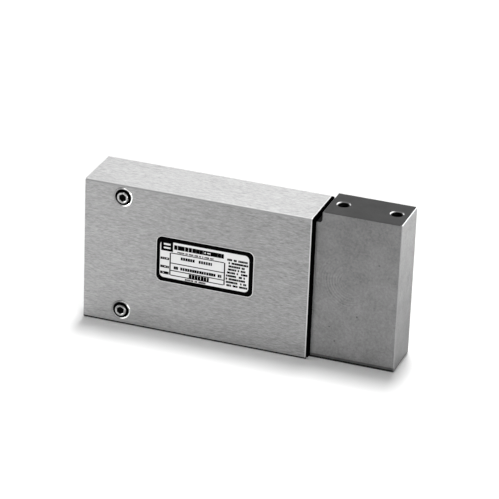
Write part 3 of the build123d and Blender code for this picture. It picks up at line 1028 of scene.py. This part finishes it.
class Ink:
    """Thin raised ink on the nameplate, placed in millimetres from the plate's lower left corner."""

    def __init__(self, seed):
        self.mesh = bmesh.new()
        self.random = random.Random(seed)
        self.low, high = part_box("nameplate")
        self.width = (high.x - self.low.x) / MM
        self.height = (high.z - self.low.z) / MM

    def spot(self, x, z, rise):
        """A vertex on the plate or over it."""
        return self.mesh.verts.new(self.low + Vector((x, -rise, z)) * MM)

    def block(self, left, right, bottom, top):
        """One thin raised bar of ink with slightly drawn-in edges."""
        base = [self.spot(x, z, 0.0) for x, z in box_corners(left, right, bottom, top)]
        drawn_in = box_corners(left + INK_BEVEL, right - INK_BEVEL, bottom + INK_BEVEL, top - INK_BEVEL)
        face = [self.spot(x, z, INK_RISE) for x, z in drawn_in]
        self.mesh.faces.new(face)
        skin(self.mesh, base, face)

    def border(self):
        """The black frame round the plate."""
        edge = BORDER_EDGE
        outer = rounded_outline(edge, edge, self.width - edge, self.height - edge, PLATE_CORNER - edge)
        right = self.width - BORDER_WIDTH
        top = self.height - BORDER_WIDTH
        inner = rounded_outline(BORDER_LEFT, BORDER_WIDTH, right, top, INNER_CORNER)
        rings = [[self.spot(x, z, rise) for x, z in line]
                 for line, rise in ((outer, 0.0), (outer, INK_RISE), (inner, INK_RISE), (inner, 0.0))]
        for first, second in zip(rings, rings[1:]):
            skin(self.mesh, first, second)

    def table(self):
        """Two posts and the lines between them."""
        for left in (TABLE_LEFT, TABLE_RIGHT):
            self.block(left, left + TABLE_POST, TABLE_LINES[-1], TABLE_LINES[0])
        for line in TABLE_LINES:
            self.block(TABLE_LEFT + TABLE_POST, TABLE_RIGHT, line - TABLE_STROKE / 2, line + TABLE_STROKE / 2)

    def glyph(self, left, right, bottom, top, stroke):
        """A small dark shape in place of a letter: a bar, a hollow box or two short bars."""
        kind = self.random.randrange(3)
        if kind == 0 or right - left < LETTER_NARROW * stroke:
            self.block(left, right, bottom, top)
        elif kind == 1:
            self.block(left, left + stroke, bottom, top)
            self.block(right - stroke, right, bottom, top)
            self.block(left + stroke, right - stroke, bottom, bottom + stroke)
            self.block(left + stroke, right - stroke, top - stroke, top)
        else:
            middle = (bottom + top) / 2
            self.block(left, right, bottom, middle - stroke / 3)
            self.block(left, right, middle + stroke / 3, top)

    def greek(self, left, right, bottom, rise, ink, gaps, weight=LETTER_WEIGHT):
        """A row of small dark shapes that stands for a line of print."""
        x = left
        step = rise * LETTER_PITCH
        while x + step * LETTER_LAST < right:
            if self.random.random() < gaps:
                x += step * LETTER_GAP
                continue
            wide = step * ink * self.random.uniform(*LETTER_SPREAD)
            self.glyph(x, min(x + wide, right), bottom, bottom + rise, rise * weight)
            x += step

    def small_print(self):
        """The column of small greeked rows."""
        for row in range(SMALL_ROWS):
            bottom = SMALL_TOP - row * SMALL_STEP - SMALL_HEIGHT
            start = SMALL_LEFT + self.random.uniform(0.0, SMALL_LEFT_RAG)
            end = SMALL_RIGHT - self.random.uniform(0.0, SMALL_RIGHT_RAG)
            self.greek(start, end, bottom, SMALL_HEIGHT, SMALL_INK, SMALL_GAPS, SMALL_WEIGHT)


def make_print(finishes):
    """The black print on the nameplate: border, table, mark and greeked rows."""
    ink = Ink(PRINT_SEED)
    ink.border()
    ink.table()
    for bar in HEAD_MARK:
        ink.block(*bar)
    for row in PRINT_ROWS:
        ink.greek(*row)
    ink.small_print()
    bmesh.ops.recalc_face_normals(ink.mesh, faces=ink.mesh.faces)
    new_piece("plate_ink", ink.mesh, finishes["ink"], smooth_angle=20)


def make_floor():
    """A pale floor that the camera and the metal see as white, with the cell's shadow kept."""
    half = FLOOR_HALF
    mesh = bmesh.new()
    corners = [mesh.verts.new((x, y, 0.0)) for x, y in box_corners(-half, half, -half, half)]
    mesh.faces.new(corners)
    data = bpy.data.meshes.new("floor")
    mesh.to_mesh(data)
    mesh.free()
    floor = bpy.data.objects.new("floor", data)
    bpy.context.scene.collection.objects.link(floor)
    floor.location.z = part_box("spring_element")[0].z - FLOOR_GAP
    finish = Finish("floor_paper", roughness=1.0, specular=0.0)
    rays = finish.add("ShaderNodeLightPath")
    seen = finish.larger(rays.outputs["Is Camera Ray"], rays.outputs["Is Transmission Ray"])
    seen = finish.larger(seen, rays.outputs["Is Glossy Ray"])
    finish.grey(finish.ramp(seen, 0.0, 1.0, FLOOR_COLOUR, FLOOR_SEEN))
    finish.shader.inputs["Emission Color"].default_value = (1.0, 1.0, 1.0, 1.0)
    x, y, _ = finish.parts(finish.place())
    far = finish.ramp(finish.length(x, y), FLOOR_NEAR / MM, FLOOR_FAR / MM)
    finish.feed(finish.shader.inputs["Emission Strength"], finish.times(seen, far))
    data.materials.append(finish.material)


def make_world():
    """Plain white for the camera. Metal mirrors a dim room, light low down, on the right and behind."""
    world = bpy.data.worlds.new("studio")
    bpy.context.scene.world = world
    world.use_nodes = True
    shading = Shading(world.node_tree)
    direction = shading.parts(shading.add("ShaderNodeTexCoord").outputs["Generated"])
    mirror = MIRROR_REST
    for axis, start, full, brightness in MIRROR_SIDES:
        mirror = shading.swap(shading.ramp(direction[axis], start, full), mirror, brightness)
    rays = shading.add("ShaderNodeLightPath")
    mirrored = shading.larger(rays.outputs["Is Glossy Ray"], rays.outputs["Is Transmission Ray"])
    strength = shading.swap(rays.outputs["Is Camera Ray"], shading.swap(mirrored, WORLD_LIGHT, mirror), 1.0)
    surface = world.node_tree.nodes["Background"]
    shading.feed(surface.inputs["Strength"], strength)
    surface.inputs["Color"].default_value = (1.0, 1.0, 1.0, 1.0)


def area_lamp(name, place, target, size, power):
    """A soft lamp, a rectangle that faces a point."""
    data = bpy.data.lights.new(name, "AREA")
    data.shape = "RECTANGLE"
    data.size, data.size_y = size
    data.energy = power
    lamp = bpy.data.objects.new(name, data)
    bpy.context.scene.collection.objects.link(lamp)
    lamp.location = place
    lamp.rotation_mode = "QUATERNION"
    lamp.rotation_quaternion = (Vector(target) - Vector(place)).to_track_quat("-Z", "Y")


def make_light():
    """Every lamp, turned to the cell's middle."""
    middle = centre_of("spring_element")
    for name, (offset, size, power) in LAMPS.items():
        area_lamp(name, middle + Vector(offset), middle, size, power)


def make_camera():
    """The photograph's camera."""
    data = bpy.data.cameras.new("camera")
    data.sensor_width = SENSOR
    data.lens = LENS
    data.clip_start = CLIP_START
    data.clip_end = CLIP_END
    camera = bpy.data.objects.new("camera", data)
    bpy.context.scene.collection.objects.link(camera)
    right = RIGHT.normalized()
    up = (-DOWN).normalized()
    turn = Matrix((right, up, right.cross(up))).transposed().to_4x4()
    camera.matrix_world = Matrix.Translation(EYE) @ turn
    bpy.context.scene.camera = camera


def main():
    """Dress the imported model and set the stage."""
    finishes = make_finishes()
    dress_nodes(finishes)
    make_screw_sets(finishes)
    make_threads(finishes)
    make_print(finishes)
    make_floor()
    make_world()
    make_light()
    make_camera()
    bpy.context.scene.view_settings.view_transform = "Standard"


main()
